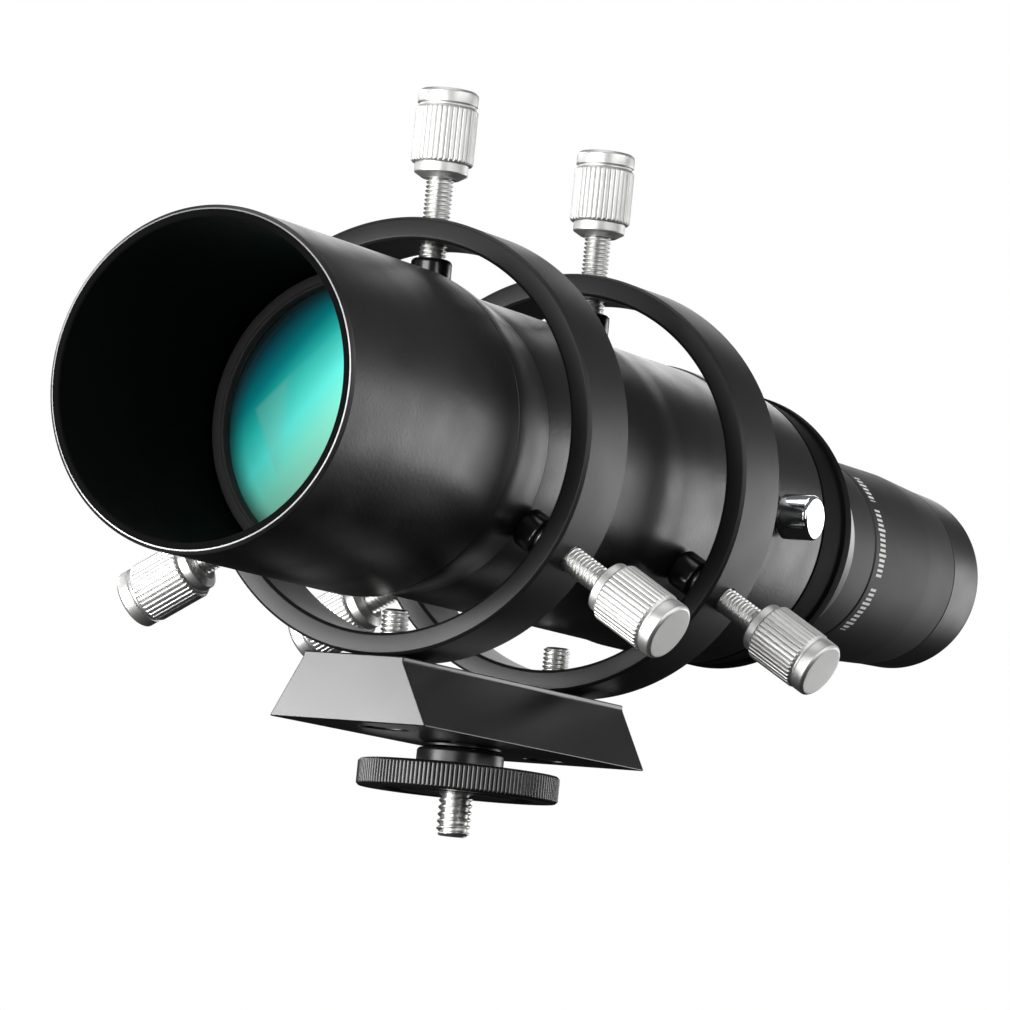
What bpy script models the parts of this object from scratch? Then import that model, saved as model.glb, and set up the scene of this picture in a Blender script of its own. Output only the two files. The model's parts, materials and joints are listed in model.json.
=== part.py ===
# A 50 mm finder scope, held in two adjustable rings on a dovetail plate, with a lock wheel below.
# Metres, +Z up. The objective looks along -Y. The origin is the centre of the dovetail's underside.
import math

import bmesh
import bpy

mm = 0.001
gap = 0.3 * mm  # kept between touching pieces
threadGap = 0.15 * mm  # kept around every thread
# faces round each kind of turning
ringSides, shellSides, innerSides, knobSides, screwSides = 48, 36, 24, 16, 12

# the optical axis, and the stations along it, from the objective to the eye
axisHeight = 52.05 * mm
hoodFront = -104.7 * mm
cellFront = -53.8 * mm
hoodRear = -45.7 * mm
shoulderRear = -30.3 * mm
stepFront = 18.0 * mm
tubeRear = 60.0 * mm
housingRear = 85.9 * mm
flangeRear = 100.2 * mm
socketRear = 116.2 * mm
bodyRear = 172.4 * mm
eyecupRear = 183.8 * mm

# radii of the shells
hoodRadius, hoodBore = 30.0 * mm, 27.9 * mm
tubeRadius, tubeBore = 27.9 * mm, 25.9 * mm
tubeStep = 0.5 * mm
housingRadius = 27.7 * mm
drawRadius, drawBore = 20.5 * mm, 18.6 * mm
flangeRadius = 27.4 * mm
socketRadius = 18.6 * mm
barrelRadius = 15.85 * mm  # a 1.25 inch eyepiece barrel
eyepieceRadius = 19.8 * mm

# the objective, an air-spaced doublet of 50 mm clear aperture
lensRadius = 25.7 * mm
crownFront, crownEdge, airSpace = -51.8 * mm, 2.8 * mm, 1.2 * mm
frontCurve, innerCurve = 125.0 * mm, 90.0 * mm
flintRear = -41.3 * mm

# the two rings and their adjusting screws
ringOuter, ringInner, ringWidth, ringChamfer = 39.65 * mm, 35.5 * mm, 15.1 * mm, 0.5 * mm
ringFronts = {"front": -36.8 * mm, "rear": 25.9 * mm}
tubeSeats = {"front": 28.45 * mm, "rear": 27.85 * mm}  # where the screw tips meet the tube
adjusterAngles = {"top": 90, "left": 210, "right": 330}  # from +X towards +Z
tipTop, knobFoot, knobTop = 33.0 * mm, 47.7 * mm, 63.8 * mm
screwRadius = 2.5 * mm  # M5
holeRadius = screwRadius + threadGap
tipRadius = 3.75 * mm
knobRadius = 5.7 * mm

# the lock screw of the draw tube
lockStation = 67.2 * mm
lockFace, lockRadius = 34.9 * mm, 4.35 * mm

# the dovetail plate, its bolts, and the mounting stud with its lock wheel
plateLength, plateHeight, landHeight = 86.0 * mm, 12.1 * mm, 11.2 * mm
baseHalf, topHalf = 16.0 * mm, 10.2 * mm
boltTop = axisHeight - 30.6 * mm
boltHead, boltSocket, boltSeat = 4.25 * mm, 2.0 * mm, 5.0 * mm
studRadius, studTop, studEnd = 3.1 * mm, 9.2 * mm, -17.0 * mm
washerRadius, wheelHub, wheelRadius = 7.4 * mm, 8.05 * mm, 18.6 * mm
hubTop, wheelTop, wheelUnder = -1.2 * mm, -4.3 * mm, -9.3 * mm


def finish(name, color, roughness, metallic):
    material = bpy.data.materials.new(name)
    material.use_nodes = True
    shader = material.node_tree.nodes["Principled BSDF"]
    shader.inputs["Base Color"].default_value = (*color, 1)
    shader.inputs["Roughness"].default_value = roughness
    shader.inputs["Metallic"].default_value = metallic
    return material


def placed(name, shape, material, parent=None, at=(0, 0, 0), turn=(0, 0, 0)):
    # makes the finished bmesh one object with its origin on its own axis
    bmesh.ops.remove_doubles(shape, verts=shape.verts, dist=1e-7)
    bmesh.ops.recalc_face_normals(shape, faces=shape.faces)
    mesh = bpy.data.meshes.new(name)
    shape.to_mesh(mesh)
    shape.free()
    mesh.shade_smooth()
    mesh.set_sharp_from_angle(angle=math.radians(35))
    mesh.materials.append(material)
    thing = bpy.data.objects.new(name, mesh)
    bpy.context.collection.objects.link(thing)
    thing.parent = parent
    thing.location = at
    thing.rotation_euler = turn
    return thing


def turned(name, outline, material, sides=shellSides, **place):
    # an outline of (radius, height) turned about the object's own Z
    # it closes on itself unless it ends on the axis
    shape = bmesh.new()
    points = [shape.verts.new((radius, 0, height)) for radius, height in outline]
    pairs = list(zip(points, points[1:]))
    if outline[0][0] > 0:
        pairs.append((points[-1], points[0]))
    edges = [shape.edges.new(pair) for pair in pairs]
    about = {"cent": (0, 0, 0), "axis": (0, 0, 1), "angle": math.tau}
    bmesh.ops.spin(shape, geom=points + edges, steps=sides, use_merge=True, **about)
    return placed(name, shape, material, **place)


def cutter(name, outline, sides=knobSides, **place):
    tool = turned(name, outline, bpy.data.materials["black_anodised"], sides, **place)
    tool.hide_render = True
    tool.display_type = "WIRE"
    return tool


def cut(target, tool):
    hole = target.modifiers.new(tool.name, "BOOLEAN")
    hole.operation = "DIFFERENCE"
    hole.object = tool


def rod(radius, low, high, chamfer=0.0):
    # the outline of a plain pin between two heights, its ends chamfered where a chamfer is given
    if not chamfer:
        return [(0, low), (radius, low), (radius, high), (0, high)]
    return [
        (0, low),
        (radius - chamfer, low),
        (radius, low + chamfer),
        (radius, high - chamfer),
        (radius - chamfer, high),
        (0, high),
    ]


def sleeve(outer, inner, low, high, chamfer=0.4 * mm):
    # the outline of a tube, its outer edges chamfered
    return [
        (inner, low),
        (outer - chamfer, low),
        (outer, low + chamfer),
        (outer, high - chamfer),
        (outer - chamfer, high),
        (inner, high),
    ]


def sag(radius, curve):
    return curve - math.sqrt(curve**2 - radius**2)


def curved(edge, curve, rim, inner=0.0, points=5):
    # an arc of (radius, height) from the inner radius out to the rim
    # a positive curve bulges down from the rim
    steps = [inner + (rim - inner) * i / points for i in range(points + 1)]
    swell = math.copysign(1, curve)
    return [(r, edge - swell * (sag(rim, abs(curve)) - sag(r, abs(curve)))) for r in steps]


def eased(first, last, points=6):
    # a smooth S from one (radius, height) to another
    step = [i / points for i in range(points + 1)]
    radius = [first[0] + (last[0] - first[0]) * (1 - math.cos(math.pi * t)) / 2 for t in step]
    height = [first[1] + (last[1] - first[1]) * t for t in step]
    return list(zip(radius, height))


def clearScene():
    for thing in list(bpy.data.objects):
        bpy.data.objects.remove(thing)


def makeHoodAndCell(axis):
    turned("dew_shield", sleeve(hoodRadius, hoodBore, hoodFront, hoodRear), black, parent=axis)
    shoulder = eased((hoodRadius - 0.1 * mm, hoodRear + gap), (tubeRadius, shoulderRear))
    noseRadius, lensBore, spigot = hoodBore - gap, lensRadius + gap, tubeBore - gap
    ledge = flintRear + gap
    turned(
        "objective_cell",
        [(lensBore, cellFront), (noseRadius, cellFront), (noseRadius, hoodRear + gap)]
        + shoulder
        + [(spigot, shoulderRear), (spigot, shoulderRear + 8 * mm), (24.5 * mm, shoulderRear + 8 * mm)]
        + [(24.5 * mm, ledge), (lensBore, ledge)],
        black,
        parent=axis,
    )
    turned(
        "lens_retaining_ring",
        sleeve(lensRadius, 25.0 * mm, cellFront, crownFront - gap, 0.2 * mm),
        black,
        innerSides,
        parent=axis,
    )


def makeObjective(axis):
    crownRear = crownFront + crownEdge
    crownFace = curved(crownFront, frontCurve, lensRadius)
    innerFace = curved(crownRear, -innerCurve, lensRadius)
    turned("crown_lens", crownFace + innerFace[::-1], glass, innerSides, parent=axis)
    flintFace = [(r, z + airSpace) for r, z in innerFace]
    flintFace += [(lensRadius, flintRear), (0, flintRear)]
    turned("flint_lens", flintFace, glass, innerSides, parent=axis)
    rim = curved(crownRear, -innerCurve, lensRadius, inner=24.6 * mm, points=1)
    ring = [(r, z + gap) for r, z in rim] + [(r, z + airSpace - gap) for r, z in rim[::-1]]
    turned("lens_spacer", ring, black, innerSides, parent=axis)


def makeTube(axis):
    front, stepRear = shoulderRear + gap, stepFront + 5 * mm
    narrow = tubeRadius - tubeStep
    turned(
        "main_tube",
        [(tubeBore, front), (tubeRadius - 0.1 * mm, front), (tubeRadius, front + 0.4 * mm)]
        + eased((tubeRadius, stepFront), (narrow, stepRear), 4)
        + [(narrow, tubeRear), (tubeBore, tubeRear)],
        black,
        parent=axis,
    )
    for name, station, bore in (("baffle_front", -6 * mm, 22.5 * mm), ("baffle_rear", 27 * mm, 19.5 * mm)):
        outer = tubeBore - gap
        foot = outer - 1.5 * mm  # inside of the flange that holds the baffle in the tube
        rim = [(bore, station), (outer, station - 2 * mm), (outer, station + 2 * mm)]
        rim += [(foot, station + 2 * mm), (foot, station + 0.4 * mm), (bore, station + 0.3 * mm)]
        turned(name, rim, black, innerSides, parent=axis)


def makeFocuser(axis):
    front, bore = tubeRear + gap, drawRadius + 0.2 * mm
    housing = turned(
        "draw_housing",
        [(bore, front - 7 * mm), (tubeBore - gap, front - 7 * mm), (tubeBore - gap, front)]
        + [(housingRadius, front), (housingRadius, housingRear), (bore, housingRear)],
        black,
        parent=axis,
    )
    across = {"at": (0, lockStation, axisHeight), "turn": (0, math.radians(90), 0)}  # local Z runs along +X
    cut(housing, cutter("lock_hole", rod(holeRadius, 18 * mm, 30 * mm), **across))
    drawFront, flangeFront = 38 * mm, housingRear + gap
    turned("draw_tube", sleeve(drawRadius, drawBore, drawFront, flangeRear - 6 * mm), black, parent=axis)
    socketBore, pocket = barrelRadius + 0.15 * mm, drawRadius + threadGap
    groove = socketBore + 1.4 * mm  # holds the spring ring between these two stations
    grooveFront, grooveRear, seat = socketRear - 9 * mm, socketRear - 4 * mm, flangeRear - 5.7 * mm
    lipFront = flangeRear - 3.5 * mm
    turned(
        "draw_flange",
        [(pocket, flangeFront), (housingRadius, flangeFront)]
        + [(flangeRadius - 0.6 * mm, lipFront - 0.5 * mm), (flangeRadius, lipFront)]
        + [(flangeRadius, flangeRear - 0.8 * mm)]
        + [(flangeRadius - 0.8 * mm, flangeRear), (socketRadius, flangeRear)]
        + [(socketRadius, socketRear - 0.5 * mm), (socketRadius - 0.5 * mm, socketRear)]
        + [(socketBore, socketRear), (socketBore, grooveRear), (groove, grooveRear)]
        + [(groove, grooveFront), (socketBore, grooveFront), (socketBore, seat), (pocket, seat)],
        black,
        parent=axis,
    )
    turned(
        "spring_ring",
        sleeve(groove - threadGap, socketBore, grooveFront + 0.2 * mm, grooveRear - 0.2 * mm, 0.1 * mm),
        brass,
        parent=axis,
    )
    pad, padTop = drawRadius + gap, drawRadius + 2.6 * mm
    turned("lock_screw_pad", rod(2.3 * mm, pad, padTop), plastic, screwSides, **across)
    neck, crown = 28.4 * mm, 0.5 * mm
    turned(
        "lock_screw",
        [(0, padTop + gap), (screwRadius, padTop + gap), (screwRadius, neck), (lockRadius, neck)]
        + [(lockRadius, lockFace - crown), (lockRadius - crown, lockFace), (0, lockFace)],
        chrome,
        knobSides,
        **across,
    )


def makeEyepiece(axis):
    shoulder = socketRear + gap
    barrelFront, barrelBore = socketRear - 27.8 * mm, barrelRadius - 1.1 * mm
    barrel = sleeve(barrelRadius, barrelBore, barrelFront, shoulder + 6 * mm)
    turned("eyepiece_barrel", barrel, chrome, parent=axis)
    bodyBore, cupFront = barrelRadius + threadGap, bodyRear - 4 * mm
    capRear = bodyRear + 3 * mm
    seat, shelf = cupFront + gap, capRear + gap  # where the eyecup meets the body
    edge = 0.8 * mm
    capBore, eyeHole = 17.0 * mm, 12.0 * mm
    turned(
        "eyepiece_body",
        [(bodyBore, shoulder), (eyepieceRadius - edge, shoulder), (eyepieceRadius, shoulder + edge)]
        + [(eyepieceRadius, bodyRear - 18 * mm), (eyepieceRadius - edge, cupFront)]
        + [(capBore, cupFront), (capBore, capRear), (eyeHole, capRear)]
        + [(eyeHole, bodyRear), (bodyBore, bodyRear)],
        grey,
        parent=axis,
    )
    turned(
        "eyecup",
        [(capBore + gap, seat), (eyepieceRadius - edge, seat), (18.5 * mm, eyecupRear - 2 * mm)]
        + [(17.6 * mm, eyecupRear - 0.4 * mm), (16.6 * mm, eyecupRear), (15.2 * mm, eyecupRear - 0.4 * mm)]
        + [(14.6 * mm, eyecupRear - 2 * mm), (14.0 * mm, shelf), (capBore + gap, shelf)],
        rubber,
        parent=axis,
    )
    stopAt = shoulder + 7 * mm
    stop = sleeve(bodyBore - gap, 13.5 * mm, stopAt, stopAt + 1.5 * mm, 0.1 * mm)
    turned("field_stop", stop, black, innerSides, parent=axis)
    groupRadius, groupEdge, flat, steep = bodyBore - gap, 5 * mm, 200 * mm, 45 * mm
    fieldAt, eyeAt = bodyRear - 20 * mm, bodyRear - 9 * mm
    fieldRear = fieldAt + groupEdge
    fieldFaces = curved(fieldAt, flat, groupRadius, points=3) + curved(fieldRear, -steep, groupRadius)[::-1]
    eyeFaces = curved(eyeAt, steep, groupRadius)
    eyeFaces += curved(eyeAt + groupEdge, -flat, groupRadius, points=3)[::-1]
    turned("field_lens", fieldFaces, glass, innerSides, parent=axis)
    turned("eye_lens", eyeFaces, glass, innerSides, parent=axis)
    spacerBore = groupRadius - 1.2 * mm
    swell = sag(groupRadius, steep) - sag(spacerBore, steep) + gap
    spacer = sleeve(groupRadius, spacerBore, fieldRear + swell, eyeAt - swell, 0.1 * mm)
    turned("lens_group_spacer", spacer, black, innerSides, parent=axis)


def makeRings():
    plateHole = boltTop - 20 * mm
    for place, front in ringFronts.items():
        middle = front + ringWidth / 2
        outline = [
            (ringInner, front + ringChamfer),
            (ringInner + ringChamfer, front),
            (ringOuter - ringChamfer, front),
            (ringOuter, front + ringChamfer),
            (ringOuter, front + ringWidth - ringChamfer),
            (ringOuter - ringChamfer, front + ringWidth),
            (ringInner + ringChamfer, front + ringWidth),
            (ringInner, front + ringWidth - ringChamfer),
        ]
        upright = {"at": (0, 0, axisHeight), "turn": (math.radians(-90), 0, 0)}
        ring = turned(f"{place}_ring", outline, black, ringSides, **upright)
        cut(ring, cutter(f"{place}_ring_bolt_hole", rod(holeRadius, plateHole, boltTop), at=(0, middle, 0)))
        for side, angle in adjusterAngles.items():
            makeAdjuster(f"{place}_{side}", ring, middle, tubeSeats[place], math.radians(90 - angle))


def makeAdjuster(name, ring, station, seat, tilt):
    # local Z runs outwards from the optical axis, so heights here are radii of the finder
    place = {"at": (0, station, axisHeight), "turn": (0, tilt, 0)}
    cut(ring, cutter(f"{name}_hole", rod(holeRadius, ringInner - 3 * mm, ringOuter + 3 * mm), **place))
    floor = seat + 1.6 * mm
    turned(
        f"{name}_tip",
        [(0, seat), (tipRadius, seat), (tipRadius, tipTop), (holeRadius, tipTop)]
        + [(holeRadius, floor), (0, floor)],
        plastic,
        screwSides,
        **place,
    )
    screwTop = knobFoot + 9.5 * mm
    turned(f"{name}_screw", rod(screwRadius, floor + gap, screwTop, 0.4 * mm), steel, screwSides, **place)
    collar, bore = 4.9 * mm, holeRadius
    knurlFoot, knurlTop = knobFoot + 2.7 * mm, knobTop - 3.2 * mm
    turned(
        f"{name}_knob",
        [(bore, knobFoot), (3.4 * mm, knobFoot), (collar, knobFoot + 0.9 * mm), (collar, knurlFoot)]
        + [(knobRadius, knurlFoot), (knobRadius, knurlTop), (5.2 * mm, knurlTop + 0.2 * mm)]
        + [(5.5 * mm, knobTop - 2.5 * mm), (5.5 * mm, knobTop - 0.5 * mm), (5.0 * mm, knobTop), (0, knobTop)]
        + [(0, screwTop + gap), (bore, screwTop + gap)],
        satin,
        knobSides,
        **place,
    )


def makePlate():
    outline = [(-baseHalf, 0), (baseHalf, 0), (topHalf, landHeight), (topHalf, plateHeight)]
    outline += [(-topHalf, plateHeight), (-topHalf, landHeight)]
    shape = bmesh.new()
    end = shape.faces.new([shape.verts.new((x, -plateLength / 2, z)) for x, z in outline])
    swept = bmesh.ops.extrude_face_region(shape, geom=[end])
    moved = [item for item in swept["geom"] if isinstance(item, bmesh.types.BMVert)]
    bmesh.ops.translate(shape, verts=moved, vec=(0, plateLength, 0))
    plate = placed("dovetail_plate", shape, black)
    under = -2 * mm
    cut(plate, cutter("stud_hole", rod(studRadius + threadGap, under, studTop + gap)))
    for place, front in ringFronts.items():
        spot = (0, front + ringWidth / 2, 0)
        counterbore = [
            (0, under),
            (boltHead + gap, under),
            (boltHead + gap, boltSeat),
            (holeRadius, boltSeat),
            (holeRadius, plateHeight + 2 * mm),
            (0, plateHeight + 2 * mm),
        ]
        cut(plate, cutter(f"{place}_counterbore", counterbore, at=spot))
        head, seat = 0.4 * mm, boltSeat - gap
        bolt = turned(
            f"{place}_ring_bolt",
            [(0, head), (boltHead, head), (boltHead, seat), (screwRadius, seat)]
            + [(screwRadius, boltTop - 0.5 * mm), (screwRadius - 0.5 * mm, boltTop), (0, boltTop)],
            steel,
            screwSides,
            at=spot,
        )
        cut(bolt, cutter(f"{place}_bolt_socket", rod(boltSocket, under, head + 2.4 * mm), 6, at=spot))


def makeLockWheel():
    bore = studRadius + threadGap
    turned("mounting_stud", rod(studRadius, studEnd, studTop, 0.6 * mm), steel, screwSides)
    turned("lock_washer", sleeve(washerRadius, bore, -0.9 * mm, -gap, 0.1 * mm), steel, innerSides)
    turned(
        "lock_wheel",
        [(bore, wheelUnder), (wheelRadius - 0.5 * mm, wheelUnder), (wheelRadius, wheelUnder + 0.5 * mm)]
        + [(wheelRadius, wheelTop - 0.5 * mm), (wheelRadius - 0.5 * mm, wheelTop), (wheelHub, wheelTop)]
        + [(wheelHub, hubTop - 0.4 * mm), (wheelHub - 0.4 * mm, hubTop), (bore, hubTop)],
        black,
    )


clearScene()
black = finish("black_anodised", (0.02, 0.02, 0.022), 0.45, 0.6)
grey = finish("grey_anodised", (0.05, 0.05, 0.055), 0.5, 0.5)
satin = finish("satin_aluminium", (0.75, 0.75, 0.76), 0.3, 1.0)
steel = finish("bright_steel", (0.6, 0.6, 0.6), 0.25, 1.0)
chrome = finish("polished_chrome", (0.85, 0.85, 0.86), 0.1, 1.0)
brass = finish("brass", (0.6, 0.45, 0.2), 0.35, 1.0)
plastic = finish("black_nylon", (0.015, 0.015, 0.015), 0.4, 0.0)
rubber = finish("black_rubber", (0.02, 0.02, 0.02), 0.7, 0.0)
glass = finish("coated_glass", (0.4, 0.7, 0.65), 0.05, 0.0)

opticalAxis = bpy.data.objects.new("optical_axis", None)  # its own Z runs towards the eye
bpy.context.collection.objects.link(opticalAxis)
opticalAxis.location = (0, 0, axisHeight)
opticalAxis.rotation_euler = (math.radians(-90), 0, 0)

makeHoodAndCell(opticalAxis)
makeObjective(opticalAxis)
makeTube(opticalAxis)
makeFocuser(opticalAxis)
makeEyepiece(opticalAxis)
makeRings()
makePlate()
makeLockWheel()
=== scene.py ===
# A 50 mm finder scope in two adjustable rings on a dovetail plate, finished around its CAD frame.
# Metres, +Z up, the objective looks along -Y. Numbers in the dictionaries are millimetres unless noted.
import json
import math

import bmesh
import bpy
import numpy as np
from mathutils import Matrix, Vector


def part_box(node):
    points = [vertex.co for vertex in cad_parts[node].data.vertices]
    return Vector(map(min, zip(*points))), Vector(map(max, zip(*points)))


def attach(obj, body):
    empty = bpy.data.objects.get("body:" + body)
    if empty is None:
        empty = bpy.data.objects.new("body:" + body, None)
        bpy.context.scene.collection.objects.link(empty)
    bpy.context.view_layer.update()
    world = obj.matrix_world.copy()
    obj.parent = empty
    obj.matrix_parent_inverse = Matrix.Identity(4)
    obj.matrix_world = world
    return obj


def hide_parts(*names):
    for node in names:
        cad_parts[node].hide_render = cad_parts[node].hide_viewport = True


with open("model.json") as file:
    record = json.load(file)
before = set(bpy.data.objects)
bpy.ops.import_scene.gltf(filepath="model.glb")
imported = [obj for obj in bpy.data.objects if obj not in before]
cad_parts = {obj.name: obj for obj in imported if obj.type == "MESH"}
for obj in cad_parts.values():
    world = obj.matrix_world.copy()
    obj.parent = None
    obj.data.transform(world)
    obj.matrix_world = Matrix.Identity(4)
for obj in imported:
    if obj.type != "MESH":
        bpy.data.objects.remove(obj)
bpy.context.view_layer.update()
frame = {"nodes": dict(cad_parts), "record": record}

mm = 0.001
nodes = frame["nodes"]
bodyOf = {node: body for body, names in frame["record"]["behaviour"]["bodies"].items() for node in names}


def reach(node):
    # a node's lowest and highest corner in millimetres
    low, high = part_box(node)
    return low / mm, high / mm


axisHeight = sum(corner.z for corner in reach("dew_shield")) / 2
opticalAxis = ((0, 0, axisHeight), (0, 1, 0), (1, 0, 0))  # a centre, the way along, and where angles start
plumbLine = ((0, 0, 0), (0, 0, 1), (1, 0, 0))


def hexColor(code):
    # sRGB to linear: c / 12.92 in the toe, ((c + 0.055) / 1.055) ^ 2.4 above it
    level = np.array([int(code[i : i + 2], 16) for i in (1, 3, 5)]) / 255
    return (*np.where(level <= 0.04045, level / 12.92, ((level + 0.055) / 1.055) ** 2.4), 1.0)


def addNode(tree, kind, settings, links, output=0):
    # one node, its settings, then its sockets: another node's socket is linked, anything else is a value
    node = tree.nodes.new("ShaderNode" + kind)
    for name, value in settings.items():
        setattr(node, name, value)
    for name, value in links.items():
        if isinstance(value, bpy.types.NodeSocket):
            tree.links.new(value, node.inputs[name])
        else:
            node.inputs[name].default_value = value
    return node.outputs[output] if node.outputs else None


def newMaterial(name):
    material = bpy.data.materials.new(name)
    material.use_nodes = True
    tree = material.node_tree
    return material, tree, tree.nodes["Principled BSDF"]


def metalFinish(name, look):
    # Grain is a 3-D noise on Object coordinates, its scale 1 / width. Tool marks are a sine of the piece's
    # own "course", the distance along the outline that was turned. "edge" is 1 where an edge was cut bright.
    material, tree, shader = newMaterial(name)
    place = addNode(tree, "TexCoord", {}, {}, "Object")
    course = addNode(tree, "Attribute", {"attribute_name": "course"}, {}, "Fac")
    edge = addNode(tree, "Attribute", {"attribute_name": "edge"}, {}, "Fac")
    grain = addNode(tree, "TexNoise", {}, {"Vector": place, "Scale": 1 / (look["grain"] * mm), "Detail": 2.0})
    haze = addNode(tree, "TexNoise", {}, {"Vector": place, "Scale": 1 / (look["haze"] * mm), "Detail": 3.0})
    turns = addNode(tree, "Math", {"operation": "MULTIPLY"}, {0: course, 1: math.tau / look["marks"]})
    marks = addNode(tree, "Math", {"operation": "SINE"}, {0: turns})
    marks = addNode(tree, "Math", {"operation": "MULTIPLY"}, {0: marks, 1: look["marksDepth"]})
    relief = addNode(tree, "Math", {"operation": "MULTIPLY_ADD"}, {0: grain, 1: look["grainDepth"], 2: marks})
    bump = addNode(tree, "Bump", {}, {"Strength": 1.0, "Distance": mm, "Height": relief})
    hues = {0: haze, 6: hexColor(look["color"]), 7: hexColor(look["worn"])}
    tone = addNode(tree, "Mix", {"data_type": "RGBA"}, hues, 2)
    hues = {0: edge, 6: tone, 7: hexColor(look["cut"])}
    tree.links.new(addNode(tree, "Mix", {"data_type": "RGBA"}, hues, 2), shader.inputs["Base Color"])
    span = {"To Min": look["roughness"] - look["spread"], "To Max": look["roughness"] + look["spread"]}
    gloss = addNode(tree, "MapRange", {}, {"Value": haze, "From Min": 0.3, "From Max": 0.7, **span})
    tree.links.new(gloss, shader.inputs["Roughness"])
    metal = addNode(tree, "Math", {"operation": "MAXIMUM"}, {0: edge, 1: look["metallic"]})
    tree.links.new(metal, shader.inputs["Metallic"])
    tree.links.new(bump, shader.inputs["Normal"])
    shader.inputs["Specular IOR Level"].default_value = look["specular"]
    return material


# anodised aluminium, bead blasted then dyed: satin black, the highlight broad and slightly sparkling
satinAnodised = metalFinish("satin_black_anodised_aluminium", {
    "color": "#0c0c0d", "worn": "#131314", "cut": "#b9babd",
    "metallic": 0.0, "roughness": 0.38, "spread": 0.05, "specular": 0.42, "haze": 11.0,
    "grain": 0.7, "grainDepth": 0.03,  # the blasting's grain is about 0.1 mm, drawn coarser so that it shows
    "marks": 0.4, "marksDepth": 0.0004,
})
# finer blasting under the same dye: the rings are more matt, and even all round
ringAnodised = metalFinish("fine_blasted_black_anodised_aluminium", {
    "color": "#0d0d0e", "worn": "#121213", "cut": "#6d6e72",
    "metallic": 0.0, "roughness": 0.47, "spread": 0.03, "specular": 0.36, "haze": 14.0,
    "grain": 0.7, "grainDepth": 0.015,
    "marks": 0.4, "marksDepth": 0.0,
})
# the rings' faces are turned flat before they are dyed: a little glossier, they answer to one lamp only
facedAnodised = metalFinish("faced_black_anodised_aluminium", {
    "color": "#0b0b0c", "worn": "#101011", "cut": "#6d6e72",
    "metallic": 0.0, "roughness": 0.32, "spread": 0.02, "specular": 0.2, "haze": 14.0,
    "grain": 0.8, "grainDepth": 0.003,
    "marks": 0.4, "marksDepth": 0.0,
})
# the anodising drawn darker and duller as painted shade: the flange behind the housing takes nearly all of
# the light
paintedShadeAnodised = metalFinish("black_anodised_aluminium_painted_shade", {
    "color": "#030303", "worn": "#040405", "cut": "#1d1e20",
    "metallic": 0.0, "roughness": 0.7, "spread": 0.03, "specular": 0.06, "haze": 11.0,
    "grain": 0.7, "grainDepth": 0.01,
    "marks": 0.4, "marksDepth": 0.0,
})
# the same anodising over a milled face: the plate and the wheel shine more evenly
milledAnodised = metalFinish("milled_black_anodised_aluminium", {
    "color": "#0c0c0d", "worn": "#121213", "cut": "#8d8e92",
    "metallic": 0.0, "roughness": 0.31, "spread": 0.02, "specular": 0.55, "haze": 16.0,
    "grain": 0.8, "grainDepth": 0.003,
    "marks": 0.35, "marksDepth": 0.0,
})
# anodised aluminium over a fine turned surface: a dark grey that the eyepiece's body has
greyAnodised = metalFinish("dark_grey_anodised_aluminium", {
    "color": "#1c1c1d", "worn": "#222223", "cut": "#c9c9cb",
    "metallic": 0.0, "roughness": 0.58, "spread": 0.03, "specular": 0.4, "haze": 11.0,
    "grain": 0.3, "grainDepth": 0.005,
    "marks": 0.3, "marksDepth": 0.0008,
})
# turned aluminium, clear anodised: a soft silver with fine tool marks round it
satinAluminium = metalFinish("clear_anodised_turned_aluminium", {
    "color": "#c6c6c4", "worn": "#bababa", "cut": "#e6e6e4",
    "metallic": 1.0, "roughness": 0.46, "spread": 0.04, "specular": 0.5, "haze": 11.0,
    "grain": 0.25, "grainDepth": 0.003,
    "marks": 0.3, "marksDepth": 0.0016,  # 0.1 mm feed marks, drawn three times as coarse
})
# rolled steel thread, zinc plated: bright flanks and dark roots
threadSteel = metalFinish("zinc_plated_steel", {
    "color": "#dededc", "worn": "#c4c4c2", "cut": "#eeeeec",
    "metallic": 1.0, "roughness": 0.34, "spread": 0.04, "specular": 0.5, "haze": 11.0,
    "grain": 0.4, "grainDepth": 0.004,
    "marks": 0.4, "marksDepth": 0.0,
})
# black oxide on a steel bolt: dark, slightly oily sheen
oxideSteel = metalFinish("black_oxide_steel", {
    "color": "#2b2b2d", "worn": "#3c3c3e", "cut": "#9a9a9c",
    "metallic": 1.0, "roughness": 0.34, "spread": 0.04, "specular": 0.5, "haze": 11.0,
    "grain": 0.4, "grainDepth": 0.004,
    "marks": 0.4, "marksDepth": 0.0,
})
# chrome plate: a mirror, its edge blurred a little by polishing
polishedChrome = metalFinish("polished_chrome_plate", {
    "color": "#e9ebed", "worn": "#e2e4e6", "cut": "#f6f7f8",
    "metallic": 1.0, "roughness": 0.09, "spread": 0.02, "specular": 0.5, "haze": 11.0,
    "grain": 1.2, "grainDepth": 0.001,
    "marks": 0.5, "marksDepth": 0.0003,
})
# drawn brass, left bare
springBrass = metalFinish("drawn_brass", {
    "color": "#c9a457", "worn": "#b08c44", "cut": "#e6cf8e",
    "metallic": 1.0, "roughness": 0.34, "spread": 0.04, "specular": 0.5, "haze": 11.0,
    "grain": 0.4, "grainDepth": 0.003,
    "marks": 0.4, "marksDepth": 0.001,
})
# flocked matt paint inside the hood and the tubes: takes nearly all of the light
mattBlack = metalFinish("matt_black_lining_paint", {
    "color": "#040404", "worn": "#060606", "cut": "#0a0a0b",
    "metallic": 0.0, "roughness": 0.93, "spread": 0.02, "specular": 0.06, "haze": 11.0,
    "grain": 0.4, "grainDepth": 0.03,
    "marks": 0.4, "marksDepth": 0.0,
})
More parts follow.
